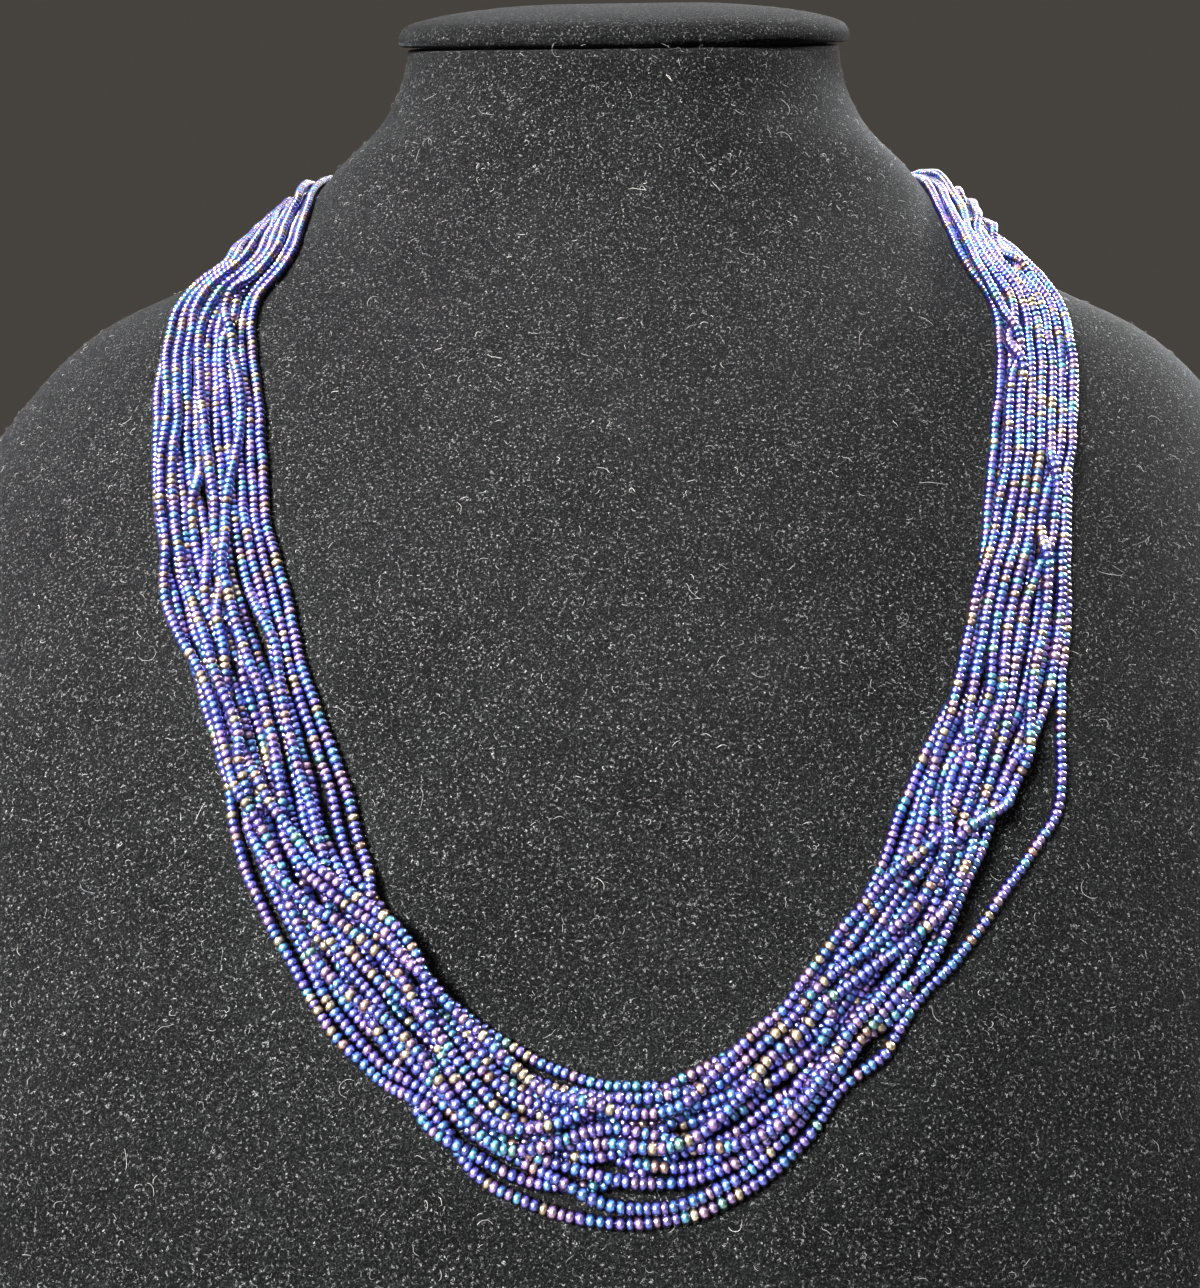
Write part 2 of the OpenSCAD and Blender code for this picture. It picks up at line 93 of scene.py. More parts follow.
# Stations of the necklace: turn round the bust in degrees, height as a share of BUST_H, how
# the strands are stacked, and the lane of each strand
ROUTE = [
    (-163, 0.830, STACK, GATHERED),
    (-146, 0.830, STACK, GATHERED),
    (-126, 0.828, STACK,
     [-2.9, -2.3, -1.75, -1.15, -0.6, 0, 0.6, 1.15, 1.75, 2.3, 2.9, -1.8, -0.6, 0.6, 1.8]),
    (-108, 0.820, STACK,
     [-3.2, -2.6, -2, -1.4, -0.7, 0, 0.7, 1.4, 2, 2.6, 3.2, -2.1, -0.7, 0.7, 2.1]),
    (-91, 0.808, STACK,
     [-4.1, -3.1, -2.1, -1.55, -1, 0, 1, 1.55, 2.1, 3.1, 4.1, -2.6, -0.6, 1.4, 2.6]),
    (-75, 0.790, PAIR,
     [-4.3, -3.3, -2.3, -1.75, -1.15, -0.15, 0.85, 1.4, 2, 3, 4, -3.1, -0.4, 2.6, 3.7]),
    (-60, 0.765, PAIR_LOW,
     [-4.5, -3.5, -2.5, -1.95, -1.35, -0.35, 0.65, 1.2, 1.8, 2.8, 3.8, -3.2, -0.4, 2.5, 3.7]),
    (-50, 0.739, PAIR_LOW,
     [-4.6, -3.6, -2.6, -2.05, -1.5, -0.5, 0.5, 1.05, 1.6, 2.6, 3.6, -3.3, -0.5, 2.3, 3.4]),
    (-43.5, 0.708, PAIR_LOW,
     [-4.7, -3.7, -2.7, -2.1, -1.6, -0.6, 0.4, 0.95, 1.5, 2.5, 3.5, -3.3, -0.6, 2.1, 3.2]),
    (-38.5, 0.677, PAIR_LOW,
     [-4.8, -3.8, -2.8, -2.05, -1.3, -0.3, 0.7, 1.45, 2.2, 3.2, 4.2, -3.4, -0.3, 2.6, 3.8]),
    (-35, 0.645, PAIR_LOW,
     [-5, -4, -3, -2, -1, 0, 1, 2, 3, 4, 5, -3.4, 0, 3.2, 4.4]),
    (-30, 0.576, FLAT,
     [-5.5, -4.4, -3.3, -2.2, -1.2, -0.1, 0.9, 2, 3, 4, 5.1, -3.3, -0.6, 3.1, 4.4]),
    (-26.5, 0.507, FLAT,
     [-5.6, -4.5, -3.4, -2.4, -1.3, -0.3, 0.8, 1.8, 2.9, 3.9, 4.9, -1.1, 0.3, 3, 4.3]),
    (-23, 0.448, PAIR,
     [-5.2, -4.2, -3.2, -2.2, -1.2, -0.2, 0.8, 1.8, 2.8, 3.8, 4.8, -0.6, 0.8, 3, 4.2]),
    (-19.5, 0.386, PAIR,
     [-4.2, -3.2, -2.15, -1.55, -1, 0, 1, 1.6, 2.15, 3.2, 4.3, 1, 2.1, 3.2, 4.2]),
    (-16.5, 0.328, PAIR,
     [-4.2, -3.2, -2.1, -1.5, -1, 0, 1, 1.55, 2.1, 3.1, 4.6, -1.4, -0.2, 1, 2.4]),
    (-12.5, 0.272, PAIR,
     [-4.4, -3.4, -2.4, -1.9, -1.35, -0.3, 0.7, 1.2, 1.75, 2.75, 3.8, -3.9, -2.8, -1.5, 0]),
    (-7.5, 0.231, PAIR,
     [-4.6, -3.6, -2.6, -2, -1.55, -0.5, 0.5, 1, 1.55, 2.6, 4, -3.6, -2.5, -1.2, 0.6]),
    (-2, 0.204, PAIR,
     [-4.4, -3.3, -2.2, -1.7, -1.1, 0, 1, 1.5, 2.1, 3.2, 4.6, -2.2, -1.1, 0.2, 2.2]),
    (4, 0.197, STACK,
     [-4.2, -3.2, -2.1, -1.5, -1, 0.2, 1.3, 2, 2.6, 3.7, 5.3, -4.1, -3, -1.7, -0.2]),
    (9.5, 0.207, STACK,
     [-3.3, -2.7, -2, -1.4, -0.7, 0, 0.6, 1.2, 1.8, 2.8, 4.2, -3.5, -2.4, -1.2, 0.2]),
    (14.5, 0.241, STACK,
     [-2.7, -2.15, -1.6, -1.05, -0.5, 0.05, 0.6, 1.15, 1.7, 2.3, 3.4, -1.9, -0.8, 0.3, 1.4]),
    (16.5, 0.262, STACK,
     [-2.9, -2.35, -1.8, -1.1, -0.4, 0.15, 0.7, 1.4, 2.1, 2.9, 5.2, -2.2, -1, 0.3, 1.6]),
    (18.5, 0.285, STACK,
     [-3.2, -2.65, -2.1, -1.1, -0.1, 0.45, 1, 2, 3, 3.5, 4.5, -2.4, -1.2, 0.4, 2]),
    (22, 0.328, TRIO,
     [-3.3, -2.8, -2.3, -1.2, -0.2, 0.3, 0.8, 1.8, 2.8, 3.3, 6.6, -1.8, -0.7, 1.3, 2.3]),
    (25, 0.383, TRIO_LOW,
     [-3.3, -2.8, -2.2, -1.2, -0.2, 0.3, 0.8, 1.8, 2.8, 3.4, 7.9, -1.8, -0.75, 1.35, 2.4]),
    (27.5, 0.431, TRIO_LOW,
     [-3.7, -3.2, -2.65, -1.6, -0.6, -0.1, 0.45, 1.45, 2.5, 3.1, 5.3, -2.15, -1.1, 0.95, 2]),
    (30, 0.503, TRIO_LOW,
     [-3.6, -3.1, -2.6, -1.6, -0.6, -0.1, 0.4, 1.4, 2.5, 3.05, 3.9, -2.1, -1.1, 0.9, 1.95]),
    (32.5, 0.569, TRIO_LOW,
     [-3.5, -2.95, -2.4, -1.4, -0.4, 0.1, 0.6, 1.6, 2.65, 3.2, 3.8, -1.9, -0.9, 1.1, 2.15]),
    (37, 0.638, TRIO_LOW,
     [-3.2, -2.7, -2.15, -1.1, -0.1, 0.4, 0.9, 1.9, 2.95, 3.5, 4.1, -1.65, -0.6, 1.4, 2.45]),
    (40, 0.672, TRIO_LOW,
     [-3.2, -2.75, -2.15, -1.1, -0.1, 0.4, 0.9, 1.9, 2.95, 3.55, 4.05, -1.65, -0.6, 1.45, 2.5]),
    (44.5, 0.703, TRIO_LOW,
     [-3.2, -2.8, -2.15, -1.1, -0.05, 0.45, 0.95, 1.95, 2.95, 3.6, 4, -1.7, -0.6, 1.5, 2.55]),
    (51.5, 0.732, TRIO_LOW,
     [-3.3, -2.9, -2.2, -1.2, -0.15, 0.35, 0.85, 1.9, 2.95, 3.55, 3.95, -1.8, -0.75, 1.4, 2.5]),
    (60, 0.757, TRIO_LOW,
     [-3.4, -3.1, -2.4, -1.35, -0.3, 0.2, 0.75, 1.8, 2.85, 3.5, 3.9, -2, -0.9, 1.3, 2.4]),
    (74, 0.785, TRIO,
     [-3.5, -3, -2.4, -1.35, -0.3, 0.2, 0.7, 1.75, 2.8, 3.4, 3.9, -2, -0.8, 1, 2.3]),
    (88, 0.806, STACK,
     [-3.6, -3.1, -2.5, -1.5, -0.5, 0, 0.5, 1.5, 2.5, 3.1, 3.6, -2, -0.7, 0.7, 2]),
    (102, 0.819, STACK,
     [-3.1, -2.5, -1.9, -1.3, -0.6, 0, 0.6, 1.3, 1.9, 2.5, 3.1, -1.9, -0.65, 0.65, 1.9]),
    (118, 0.826, STACK,
     [-2.9, -2.3, -1.75, -1.15, -0.6, 0, 0.6, 1.15, 1.75, 2.3, 2.9, -1.8, -0.6, 0.6, 1.8]),
    (134, 0.829, STACK, GATHERED),
    (149, 0.830, STACK, GATHERED),
    (164, 0.830, STACK, GATHERED),
]
STRANDS = len(GATHERED)


# Camera: its place, how far it looks down and to the left and is rolled, and the length of
# its lens as a share of the picture's longer side
CAMERA_PLACE = (22.6 * MM, -319.8 * MM, 172.0 * MM)
LOOK_DOWN = math.radians(8)
LOOK_LEFT = math.radians(4)
CAMERA_ROLL = math.radians(0.4)
LENS_SHARE = 1400 / 1288


def photo_camera():
    """Camera at the photograph's place, looking a little down and to the left."""
    data = bpy.data.cameras.new("photo camera")
    data.sensor_width = 24
    data.lens = data.sensor_width * LENS_SHARE
    camera = bpy.data.objects.new("photo camera", data)
    turned = Euler((math.radians(90) - LOOK_DOWN, 0, LOOK_LEFT)).to_matrix()
    turned = turned @ Matrix.Rotation(CAMERA_ROLL, 3, "Z")
    camera.matrix_world = Matrix.Translation(CAMERA_PLACE) @ turned.to_4x4()
    bpy.context.scene.collection.objects.link(camera)
    bpy.context.scene.camera = camera


# Shape of the bust

share_sizes = np.array([BUST_H, BUST_W / 2, CHEST_D, BACK_D, BACK_D, 1])
section_rows = np.array(SECTIONS) * share_sizes
section_rows[:, 2] *= np.where(section_rows[:, 2] > 0, BACK_D / CHEST_D, 1)
last_row = len(section_rows) - 1
section_slopes = np.array([
    (section_rows[min(k + 1, last_row)] - section_rows[max(k - 1, 0)])
    / (section_rows[min(k + 1, last_row), 0] - section_rows[max(k - 1, 0), 0])
    for k in range(last_row + 1)])


def unit(v):
    return v / np.linalg.norm(v, axis=-1, keepdims=True)


def section(z):
    """Half width, front, middle, back and roundness of the bust at heights z."""
    z = np.clip(np.asarray(z, float), 0, section_rows[-1, 0])
    i = np.clip(np.searchsorted(section_rows[:, 0], z, side="right") - 1, 0, last_row - 1)
    d = section_rows[i + 1, 0] - section_rows[i, 0]
    t = ((z - section_rows[i, 0]) / d)[..., None]
    d = d[..., None]
    values = ((2 * t**3 - 3 * t**2 + 1) * section_rows[i] + (t**3 - 2 * t**2 + t) * d * section_slopes[i]
              + (3 * t**2 - 2 * t**3) * section_rows[i + 1] + (t**3 - t**2) * d * section_slopes[i + 1])
    return [values[..., k] for k in range(1, 6)]


def skin(turn, z):
    """Points of the bust's skin at turns in degrees from the middle of the chest."""
    turn, z = np.broadcast_arrays(np.asarray(turn, float), np.asarray(z, float))
    half, front, middle, back, power = section(z)
    s, c = np.sin(np.radians(turn)), np.cos(np.radians(turn))
    k = (np.abs(s)**power + np.abs(c)**power)**(-1 / power)
    reach = np.where(c > 0, middle - front, back - middle)
    return np.stack([half * s * k, middle - reach * c * k, z], -1)


def level(p):
    """How far outside the skin points lie, as a share of the section."""
    half, front, middle, back, power = section(p[..., 2])
    reach = np.where(p[..., 1] < middle, middle - front, back - middle)
    x, y = np.abs(p[..., 0] / half), np.abs((p[..., 1] - middle) / reach)
    return (x**power + y**power)**(1 / power) - 1


def rise(p):
    """How fast that share grows along each axis."""
    half, front, middle, back, power = section(p[..., 2])
    reach = np.where(p[..., 1] < middle, middle - front, back - middle)
    f = (level(p) + 1)**(1 - power)
    dx = np.sign(p[..., 0]) * (np.abs(p[..., 0]) / half)**(power - 1) / half * f
    dy = np.sign(p[..., 1] - middle) * (np.abs(p[..., 1] - middle) / reach)**(power - 1) / reach * f
    step = np.array([0, 0, 0.05 * MM])
    return np.stack([dx, dy, (level(p + step) - level(p - step)) / (2 * step[2])], -1)


def seated(p):
    """Points moved straight onto the skin."""
    for _ in range(3):
        g = rise(p)
        p = p - level(p)[..., None] * g / (g**2).sum(-1, keepdims=True)
    return p


def outward(p):
    return unit(rise(p))


# Route of the strands


def clasp_end(side):
    height = ROUTE[0][1] * BUST_H
    return seated(np.array([side * (CLASP_L / 2 + CLASP_END_GAP), float(section(height)[3]), height]))


stations = np.array([clasp_end(-1)] + [skin(r[0], r[1] * BUST_H) for r in ROUTE] + [clasp_end(1)])
lanes = np.array([GATHERED] + [r[3] for r in ROUTE] + [GATHERED], float)
layers = np.array([STACK] + [r[2] for r in ROUTE] + [STACK], float)
last_station = len(stations) - 1


def along(rows, t):
    """Smooth course through rows at places t along the route."""
    i = np.clip(np.floor(t).astype(int), 0, last_station - 1)
    f = (t - i)[:, None]
    p1, p2 = rows[i], rows[i + 1]
    p0 = np.where((i == 0)[:, None], 2 * p1 - p2, rows[np.maximum(i - 1, 0)])
    p3 = np.where((i == last_station - 1)[:, None], 2 * p2 - p1, rows[np.minimum(i + 2, last_station)])
    return 0.5 * (2 * p1 + (p2 - p0) * f + (2 * p0 - 5 * p1 + 4 * p2 - p3) * f**2
                  + (3 * p1 - p0 - 3 * p2 + p3) * f**3)


def eased(rows, t):
    i = np.clip(np.floor(t).astype(int), 0, last_station - 1)
    f = (t - i)[:, None]
    return rows[i] + (rows[i + 1] - rows[i]) * f * f * (3 - 2 * f)


# Places along the route at which the lie of the strands is worked out
LIE_STEPS = 1400
# Waves in which a strand leaves its lane: length of the wave and how far it reaches
WANDER_WAVES = [(95 * MM, 1.25 * MM), (48 * MM, 0.90 * MM), (23 * MM, 0.34 * MM)]
# Rounds in which the strands push each other aside and sink, and the depth of one sinking
SETTLING_ROUNDS = 90
SINK_STEP = 0.02 * MM
# Least distance between two strands' middle lines, and height of a strand's middle on the
# velvet, as shares of a bead's width
CLOSEST = 0.98
REST_SHARE = 0.52


def smoothed(rows, times):
    """Rows of points with each drawn to the mean of its neighbours, several times over."""
    for _ in range(times):
        rows[:, 1:-1] = (rows[:, :-2] + 2 * rows[:, 1:-1] + rows[:, 2:]) / 4
    return rows


def lying_strands():
    """Middle lines of all the strands as they come to rest, and the outward direction there.

    Each strand wanders a little from its lane. Where two press into each other they move
    apart, and what lies on top sinks into the grooves between those below.
    """
    rng = np.random.default_rng(7)
    fine = np.linspace(0, last_station, 6000)
    middle = along(stations, fine)
    run = np.concatenate([[0], np.cumsum(np.linalg.norm(np.diff(middle, axis=0), axis=1))])
    run_at = np.linspace(0, run[-1], LIE_STEPS)
    t = np.interp(run_at, run, fine)
    p = along(stations, t)
    way = unit(np.gradient(p, axis=0))
    side = unit(np.cross(way, outward(p)))
    first = []
    for k in range(STRANDS):
        q = seated(p + side * along(lanes[:, [k]], t) * STRAND_PITCH)
        first.append(q + outward(q) * (FIRST_LIFT + eased(layers[:, [k]], t) * STRAND_PITCH))
    first = np.array(first)
    fade = np.clip(np.minimum(run_at, run[-1] - run_at) / (60 * MM) - 0.3, 0, 1)
    wander = np.zeros((STRANDS, LIE_STEPS))
    hop = np.zeros((STRANDS, LIE_STEPS))
    for size, reach in WANDER_WAVES:
        phase = rng.uniform(0, 2 * math.pi, (2, STRANDS, 1))
        stretch = rng.uniform(0.8, 1.25, (2, STRANDS, 1))
        wave = np.sin(run_at * 2 * math.pi / size * stretch + phase)
        wander += wave[0] * reach
        hop += wave[1] * reach * 0.5
    # Low on the chest the strands lie looser, over the shoulders tighter, and more so on top
    loose = 1 + np.clip((125 * MM - p[:, 2]) / (55 * MM), 0, 1)
    loose = loose - 0.5 * np.clip((p[:, 2] - 150 * MM) / (60 * MM), 0, 1)
    freedom = loose * 0.8 + 0.45 * np.array([eased(layers[:, [k]], t)[:, 0] for k in range(STRANDS)])
    lines = first + side * (wander * freedom * fade)[..., None]
    lines = lines + outward(first) * (np.abs(hop) * fade)[..., None]
    rest = PILE + BEAD_D * REST_SHARE
    for _ in range(SETTLING_ROUNDS):
        gap = lines[:, None] - lines[None]
        gap = gap - (gap * way).sum(-1, keepdims=True) * way
        apart = np.linalg.norm(gap, axis=-1, keepdims=True) + 1e-9
        push = np.clip(BEAD_D * CLOSEST - apart, 0, None) * 0.5
        moved = lines - first + (gap / apart * push).sum(1) * 0.7
        lines = first + smoothed(moved, 3)
        out = outward(lines)
        height = ((lines - seated(lines)) * out).sum(-1, keepdims=True)
        sink = np.where(height > rest, -SINK_STEP, 0)
        lines = lines + out * (np.clip(rest - height, 0, None) + sink)
    lines = first + smoothed(lines - first, 14)
    return lines, outward(lines)


# Meshes


def add_object(name, mesh, slot=None, material=None):
    piece = bpy.data.objects.new(name, mesh)
    bpy.context.scene.collection.objects.link(piece)
    if material:
        mesh.materials.append(material)
    if slot:
        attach(piece, "root")
    return piece


def mesh_of(name, bm):
    bmesh.ops.recalc_face_normals(bm, faces=bm.faces[:])
    mesh = bpy.data.meshes.new(name)
    bm.to_mesh(mesh)
    bm.free()
    mesh.shade_smooth()
    return mesh


def wrapped(name, rings):
    """Closed smooth skin over a stack of rings with the same number of points."""
    rows, sides = len(rings), len(rings[0])
    bm = bmesh.new()
    bmesh.ops.create_grid(bm, x_segments=sides, y_segments=rows - 1, size=0.5)
    for v in bm.verts:
        row, side = round((v.co.y + 0.5) * (rows - 1)), round((v.co.x + 0.5) * sides)
        v.co = rings[row][side % sides]
    bmesh.ops.remove_doubles(bm, verts=bm.verts[:], dist=0.001 * MM)
    bmesh.ops.holes_fill(bm, edges=[e for e in bm.edges if e.is_boundary], sides=0)
    return mesh_of(name, bm)


def swept(name, courses, radii, sides):
    """One mesh of round runs along courses, with a radius at each point."""
    data = bpy.data.curves.new(name, "CURVE")
    data.dimensions = "3D"
    data.bevel_depth = 1.0
    data.bevel_resolution = (sides - 4) // 2
    data.use_fill_caps = True
    for points, radius in zip(courses, radii):
        spline = data.splines.new("POLY")
        spline.points.add(len(points) - 1)
        spline.points.foreach_set("co", np.c_[points, np.ones(len(points))].ravel())
        spline.points.foreach_set("radius", np.asarray(radius, float))
    run = bpy.data.objects.new(name, data)
    bpy.context.scene.collection.objects.link(run)
    bpy.context.view_layer.update()
    mesh = bpy.data.meshes.new_from_object(run.evaluated_get(bpy.context.evaluated_depsgraph_get()))
    bpy.data.objects.remove(run)
    bpy.data.curves.remove(data)
    mesh.materials.clear()
    mesh.shade_smooth()
    return mesh


def soft_noise(points, size, seed):
    """Smooth values from -1 to 1 that change over the given size, from a few crossed waves."""
    rng = np.random.default_rng(seed)
    total = 0
    for _ in range(6):
        wave = unit(rng.normal(size=3)) * rng.uniform(0.7, 1.6) * 2 * math.pi / size
        total = total + np.sin(points @ wave + rng.uniform(0, 2 * math.pi))
    return total / 4


# Neck bust

BUST_SIDES = 128
# Rows of points up the body, and share of BUST_H from which they tilt towards the neck's top
BODY_ROWS = 76
LEVEL_TOP = 0.865
# How uneven the pile is, as shares of its height: size of the waves and how far they reach
PILE_WAVES = ((28 * MM, 0.22), (7 * MM, 0.12))


def velvet(points, seed):
    """Points pushed out by the pile, which is a little uneven."""
    (wide, deep), (short, shallow) = PILE_WAVES
    uneven = 1 + deep * soft_noise(points, wide, seed) + shallow * soft_noise(points, short, seed + 1)
    return points + outward(points) * (PILE * uneven)[..., None]


def neck_top(y):
    """Height of the neck's slanted top at depth y."""
    return BUST_H - NECK_DROP + (y - float(section(BUST_H)[2])) * math.tan(NECK_SLANT)


def bust_rings():
    """Rings of the bust from the middle of its base to the middle of the neck's top."""
    turn = np.arange(BUST_SIDES) * 360 / BUST_SIDES
    edge = skin(turn, BASE_EDGE)
    centre = np.array([0, float(section(0)[2]), 0])
    flat = unit((edge - centre) * [1, 1, 0])
    rings = []
    foot = edge * [1, 1, 0] - flat * BASE_EDGE
    for share in (0.03, 0.35, 0.7, 0.93):
        rings.append(centre + (foot - centre) * share)
    for a in np.radians([0, 22, 45, 68]):
        inset = BASE_EDGE * (1 - math.sin(a))
        rings.append(edge - flat * inset + [0, 0, BASE_EDGE * (1 - math.cos(a)) - BASE_EDGE])
    level_top = LEVEL_TOP * BUST_H
    for z in np.linspace(BASE_EDGE, level_top, BODY_ROWS):
        rings.append(velvet(skin(turn, z), 3))
    top = neck_top(skin(turn, BUST_H)[:, 1])
    for share in np.linspace(0, 1, 11)[1:-1]:
        rings.append(velvet(skin(turn, level_top + (top - level_top) * share), 3))
    rim = skin(turn, top)
    middle = np.array([0, float(section(BUST_H)[2]), BUST_H - NECK_DROP])
    for share, drop in ((1.003, 0.5 * MM), (0.99, 0.12 * MM), (0.96, 0), (0.6, 0), (0.03, 0)):
        rings.append(middle + (rim - middle) * share - [0, 0, drop])
    return rings


# Height and inset of the neck cap's rings, as shares of its thickness
CAP_PROFILE = [
    (0, 0.30), (0.015, 0.12), (0.07, 0.03), (0.14, 0), (0.22, 0.005), (0.31, 0.04),
    (0.40, 0.10), (0.48, 0.19), (0.55, 0.34), (0.62, 0.56), (0.69, 0.86), (0.76, 1.22),
    (0.82, 1.63), (0.88, 2.12), (0.94, 2.8), (0.98, 3.4), (1.0, 4.0),
]


def cap_rings():
    """Rings of the slanted neck cap, from the middle of its underside to that of its top."""
    turn = np.radians(np.arange(BUST_SIDES) * 360 / BUST_SIDES)
    tilt = np.array(Matrix.Rotation(NECK_SLANT, 3, "X"))
    seat = np.array([0, float(section(BUST_H)[2]), BUST_H - NECK_DROP])

    def placed(height, inset, share=1.0):
        local = np.stack([(CAP_W / 2 - inset) * share * np.sin(turn),
                          -(CAP_L / 2 - inset) * share * np.cos(turn),
                          np.full_like(turn, height + SEAT_GAP)], -1)
        away = unit(local * [1, 1.4, 0] + [0, 0, 1e-6])
        dent = soft_noise(local, 19 * MM, 11) * 0.25 * MM * (height > 0.1 * CAP_T)
        return (local + away * dent[:, None]) @ tilt.T + seat

    rings = [placed(0, 0.3 * CAP_T, share) for share in (0.04, 0.5, 0.9)]
    rings += [placed(h * CAP_T, i * CAP_T) for h, i in CAP_PROFILE]
    rings += [placed(CAP_T, 4 * CAP_T, share) for share in (0.6, 0.3, 0.05)]
    return rings


# Strings of beads

BEAD_SIDES = 8
# Spread of the beads' lengths, widths and tilts, and sway of the string
LENGTH_SPREAD = 0.10
WIDTH_SPREAD = 0.03
TILT_SPREAD = 0.085
SWAY = 0.07 * MM
# Place along a bead and radius, as shares of its length and of its largest radius
BEAD_PROFILE = [(0.01, 0.45), (0.13, 0.82), (0.36, 1.01), (0.64, 1.01), (0.87, 0.82), (0.99, 0.45)]


def bead_string(k, course, out, material):
    """Strand k as one fused string of beads, each with its own length, width, tilt and tint."""
    rng = np.random.default_rng(100 + k)
    way = unit(np.gradient(course, axis=0))
    run = np.concatenate([[0], np.cumsum(np.linalg.norm(np.diff(course, axis=0), axis=1))])
    fade = np.clip(np.minimum(run, run[-1] - run) / (10 * MM), 0, 1)
    sway = sum(np.sin(run / size + rng.uniform(0, 6)) for size in (1.9 * MM, 3.1 * MM, 5.3 * MM))
    course = course + np.cross(way, out) * (sway * fade * SWAY)[:, None]
    count = round(run[-1] / BEAD_STEP)
    lengths = rng.normal(1, LENGTH_SPREAD, count).clip(0.72, 1.3)
    starts = np.concatenate([[0], np.cumsum(lengths)]) * run[-1] / lengths.sum()
    share = np.array([row[0] for row in BEAD_PROFILE])
    width = np.array([row[1] for row in BEAD_PROFILE])
    girth = rng.normal(1, WIDTH_SPREAD, count).clip(0.92, 1.06) * BEAD_D / 2
    places = (starts[:-1, None] + np.diff(starts)[:, None] * share).ravel()
    radii = (girth[:, None] * width).ravel()
    places, radii = np.append(places, starts[-1]), np.append(radii, radii[0])
    points = np.stack([np.interp(places, run, course[:, axis]) for axis in range(3)], -1)
    mesh = swept(f"bead string {k + 1:02d}", [points], [radii], BEAD_SIDES)

    # The caps of the string's two ends come before its rings in the mesh
    per_bead = len(BEAD_PROFILE)
    co = np.empty(len(mesh.vertices) * 3, np.float32)
    mesh.vertices.foreach_get("co", co)
    co = co.reshape(-1, 3)
    caps = len(co) - len(points) * BEAD_SIDES
    ringed = co[caps:-BEAD_SIDES].reshape(count, per_bead, BEAD_SIDES, 3)
    middle_run = (starts[:-1] + starts[1:]) / 2
    middle = np.stack([np.interp(middle_run, run, course[:, i]) for i in range(3)], -1)
    lean = rng.normal(0, TILT_SPREAD, (count, 3))
    axis = unit(np.diff(points[::per_bead], axis=0))
    spread = ((ringed[:, 1:-1] - middle[:, None, None]) * lean[:, None, None]).sum(-1)
    ringed[:, 1:-1] += axis[:, None, None] * spread[..., None]
    mesh.vertices.foreach_set("co", co.ravel())
    bead_of = ((np.arange(len(co)) - caps) // (per_bead * BEAD_SIDES)).clip(0, count - 1)
    bead_of[:BEAD_SIDES] = count - 1
    crown = np.full(len(co), width[0])
    crown[caps:-BEAD_SIDES] = np.tile(width, count).repeat(BEAD_SIDES)
    out_at = np.stack([np.interp(middle_run, run, out[:, i]) for i in range(3)], -1)
    tint = rng.uniform(0, 1, count)[bead_of]
    shade = rng.uniform(0, 1, count)[bead_of]
    for name, values in (("tint", tint), ("shade", shade), ("crown", crown)):
        layer = mesh.attributes.new(name, "FLOAT", "POINT")
        layer.data.foreach_set("value", values.astype(np.float32))
    for name, values in (("middle", middle), ("along", axis), ("outward", unit(out_at))):
        layer = mesh.attributes.new(name, "FLOAT_VECTOR", "POINT")
        layer.data.foreach_set("vector", values[bead_of].astype(np.float32).ravel())
    mesh.update()
    piece = add_object(f"bead_string_{k + 1:02d}", mesh, "beads", material)
    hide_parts(f"strand_{k + 1:02d}")


# Lint on the velvet


def lint(name, count, steps, length, thickness, seed, material):
    """Fine pale fibres that cling to the pile, curled and lying at all angles."""
    rng = np.random.default_rng(seed)
    turn = rng.uniform(-180, 180, count)
    z = rng.uniform(0.03, 0.93, count) * BUST_H
    start = skin(turn, z)
    out = outward(start)
    heading = unit(np.cross(out, rng.normal(size=(count, 3))))
    reach = rng.uniform(*length, count) / steps
    curl = rng.normal(0, 2.2 / steps, count)
    points, courses = start, []
    for i in range(steps + 1):
        courses.append(points)
        across = np.cross(out, heading)
        bend = curl + rng.normal(0, 1.5 / steps, count)
        heading = unit(heading * np.cos(bend)[:, None] + across * np.sin(bend)[:, None])
        points = seated(points + heading * reach[:, None])
        out = outward(points)
        heading = unit(heading - out * (heading * out).sum(-1, keepdims=True))
    courses = np.stack(courses, 1)
    bow = np.sin(np.linspace(0, math.pi, steps + 1))
    lift = PILE * rng.uniform(0.9, 1.15, count)[:, None] + bow * rng.uniform(0, 0.5, count)[:, None] * MM
    courses = courses + outward(courses) * lift[..., None]
    radii = rng.uniform(*thickness, count)[:, None] * np.array([0.5] + [1] * (steps - 1) + [0.5])
    mesh = swept(name, courses, radii, 4)
    add_object(name.replace(" ", "_"), mesh, "velvet", material)


# Finishes


def shader(name):
    material = bpy.data.materials.new(name)
    material.use_nodes = True
    tree = material.node_tree
    return material, tree, tree.nodes["Principled BSDF"]


def add_node(tree, kind, values=(), **settings):
    node = tree.nodes.new(kind)
    for key, value in settings.items():
        setattr(node, key, value)
    for key, value in dict(values).items():
        if isinstance(value, bpy.types.NodeSocket):
            tree.links.new(value, node.inputs[key])
        else:
            node.inputs[key].default_value = value
    return node


def ramp(tree, fac, stops, interpolation="LINEAR"):
    node = add_node(tree, "ShaderNodeValToRGB", {"Fac": fac})
    node.color_ramp.interpolation = interpolation
    while len(node.color_ramp.elements) < len(stops):
        node.color_ramp.elements.new(0.5)
    for element, (place, colour) in zip(node.color_ramp.elements, stops):
        element.position = place
        element.color = (*colour, 1)
    return node.outputs["Color"]


def grey(value):
    return (value, value, value)


def mixed(tree, kind, fac, first, second):
    """Two colours mixed, each a socket or a plain colour."""
    node = add_node(tree, "ShaderNodeMix", data_type="RGBA", blend_type=kind)
    for key, value in ((0, fac), (6, first), (7, second)):
        if isinstance(value, bpy.types.NodeSocket):
            tree.links.new(value, node.inputs[key])
        else:
            node.inputs[key].default_value = value if key == 0 else (*value, 1)
    return node.outputs[2]


